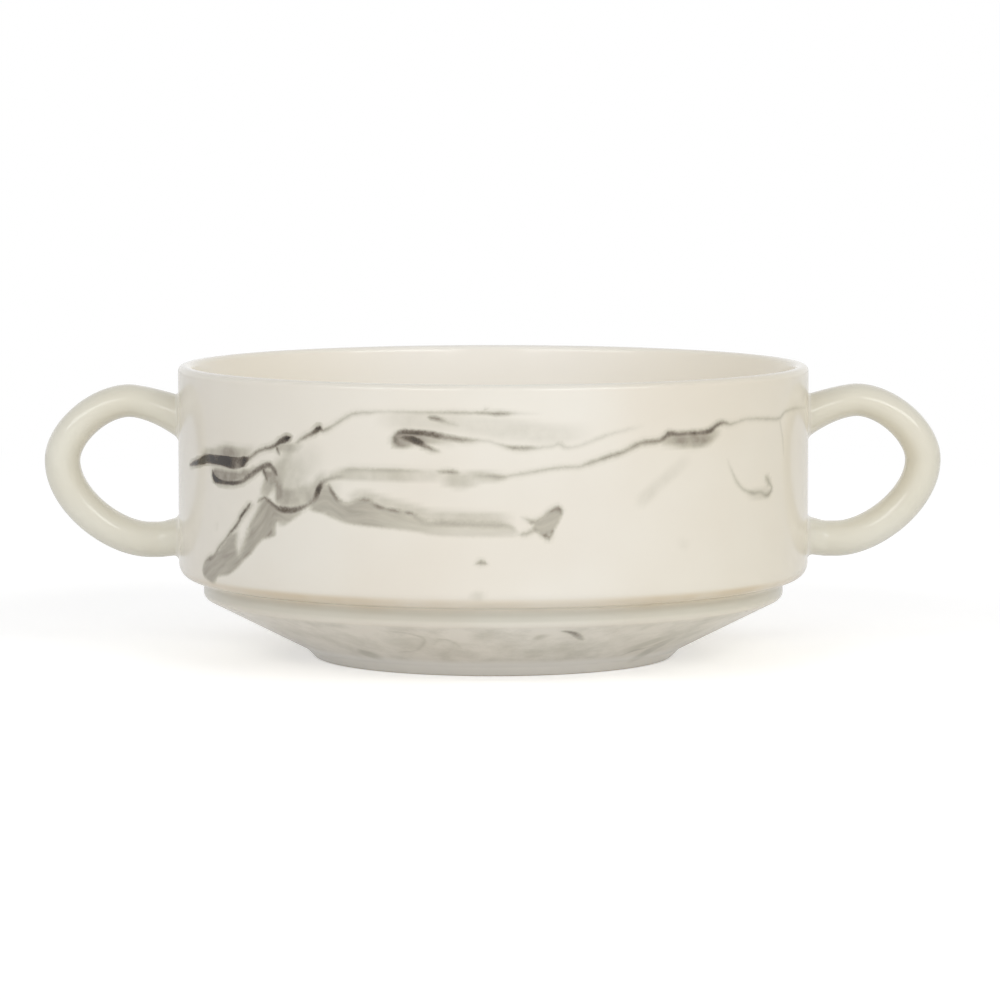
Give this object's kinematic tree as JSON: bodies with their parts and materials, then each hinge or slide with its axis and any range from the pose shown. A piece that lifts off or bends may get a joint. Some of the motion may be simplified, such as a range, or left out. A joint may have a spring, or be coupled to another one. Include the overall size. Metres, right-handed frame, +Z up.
{
  "type": "lug soup bowl",
  "caption": "Straight-walled stacking soup bowl on a cone-shaped base and foot ring, with a loop handle on each side, in marbled glazed ceramic.",
  "frame": {"origin": "centre of the foot ring's bearing face, on the table", "axes": "+Z up through the mouth, +X through the right handle, -Y towards the pictured front"},
  "size_m": [0.1568, 0.11, 0.051],
  "materials": {
    "bowl_glaze": "glossy cream glaze with grey-brown marbled veins, dry unglazed foot ring",
    "handle_glaze": "glossy plain cream glaze",
    "slip_glaze": "glossy plain cream glaze over a slip fillet"
  },
  "bodies": {
    "root": {"bowl_body": "bowl_glaze", "left_handle": "handle_glaze", "right_handle": "handle_glaze", "left_upper_slip_joint": "slip_glaze", "left_lower_slip_joint": "slip_glaze", "right_upper_slip_joint": "slip_glaze", "right_lower_slip_joint": "slip_glaze"}
  },
  "joints": []
}
